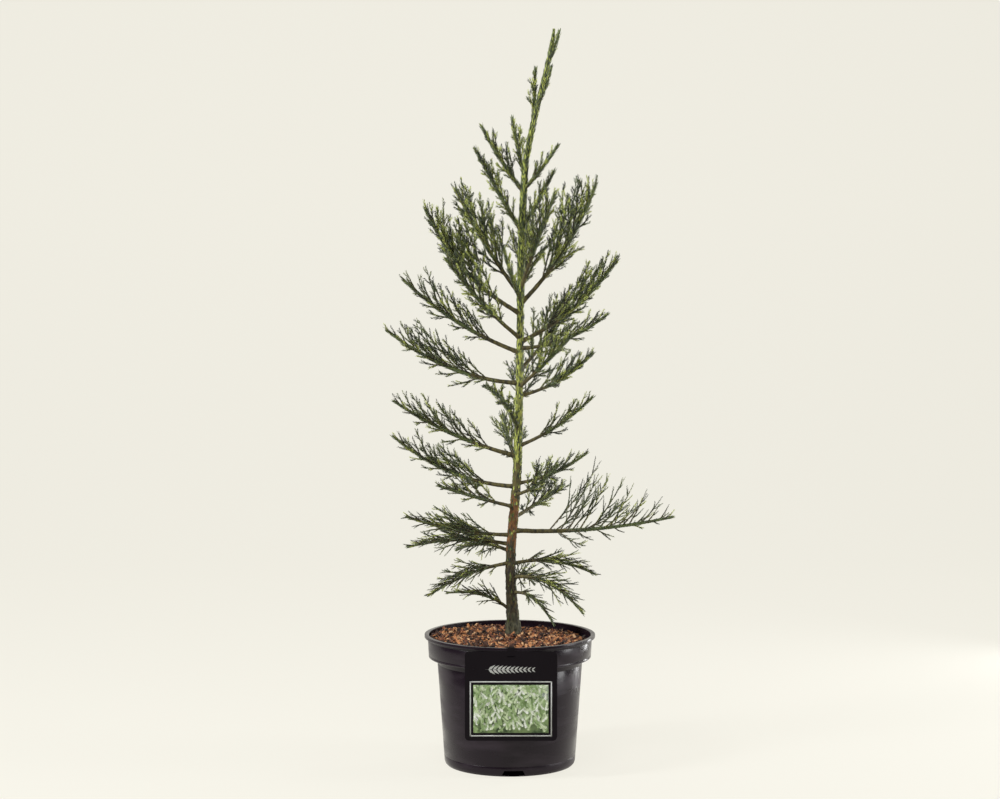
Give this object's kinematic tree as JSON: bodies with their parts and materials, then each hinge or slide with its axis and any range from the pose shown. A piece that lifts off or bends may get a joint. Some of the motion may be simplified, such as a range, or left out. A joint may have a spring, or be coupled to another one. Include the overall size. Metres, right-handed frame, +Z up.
{
  "type": "potted glaucous giant sequoia sapling",
  "caption": "Young conifer with a tapering leaning trunk, upswept boughs and cord-like blue-green foliage, growing in bark mix in a round black nursery pot with a hanging picture label.",
  "frame": {"origin": "centre of the pot's flat underside", "axes": "+Z up along the plant; -Y towards the viewer, the side that carries the label; +X to the right in the picture"},
  "size_m": [0.3809, 0.2493, 0.963],
  "materials": {
    "pot_plastic": "black moulded plastic, half gloss",
    "bark_mix": "red-brown bark chips and fibres, matt",
    "label_card": "black printed card, gloss",
    "bark": "fibrous brown bark, olive green on young wood",
    "foliage": "grey-green awl-shaped leaves, matt"
  },
  "bodies": {
    "root": {"bough_10_right": "bark", "bough_11_back_right": "bark", "bough_14_left": "bark", "bough_17_left": "bark", "bough_23_left": "bark", "bough_24_back_right": "bark", "bough_25_left": "bark", "bough_27_right": "bark", "bough_28_front_left": "bark", "bough_29_left": "bark", "bough_30_back": "bark", "bough_31_right": "bark", "bough_32_back_left": "bark", "foliage_01_left": "foliage", "foliage_02_right_front": "foliage", "foliage_03_back_right": "foliage", "foliage_04_right_front": "foliage", "foliage_05_right": "foliage", "foliage_06_left_front": "foliage", "foliage_07_back_left": "foliage", "foliage_08_left": "foliage", "foliage_09_left_front": "foliage", "foliage_10_right": "foliage", "foliage_11_back_right": "foliage", "foliage_12_left_front": "foliage", "foliage_13_front_right": "foliage", "foliage_14_left": "foliage", "foliage_15_right": "foliage", "foliage_16_back": "foliage", "foliage_17_left": "foliage", "foliage_18_right": "foliage", "foliage_19_front_left": "foliage", "foliage_20_back": "foliage", "foliage_21_right": "foliage", "foliage_22_front_right": "foliage", "foliage_23_left": "foliage", "foliage_24_back_right": "foliage", "foliage_25_left": "foliage", "foliage_26_right": "foliage", "foliage_27_right": "foliage", "foliage_28_front_left": "foliage", "foliage_29_left": "foliage", "foliage_30_back": "foliage", "foliage_31_right": "foliage", "foliage_32_back_left": "foliage", "foliage_33_front_right": "foliage", "foliage_34_front_left": "foliage", "foliage_35_left": "foliage", "foliage_36_right": "foliage", "foliage_37_left": "foliage", "foliage_38_back": "foliage", "foliage_39_right": "foliage", "foliage_40_leader": "foliage", "foliage_41_leader": "foliage", "foliage_42_leader": "foliage", "label": "label_card", "pot": "pot_plastic", "potting_mix": "bark_mix", "trunk": "bark"}
  },
  "joints": []
}
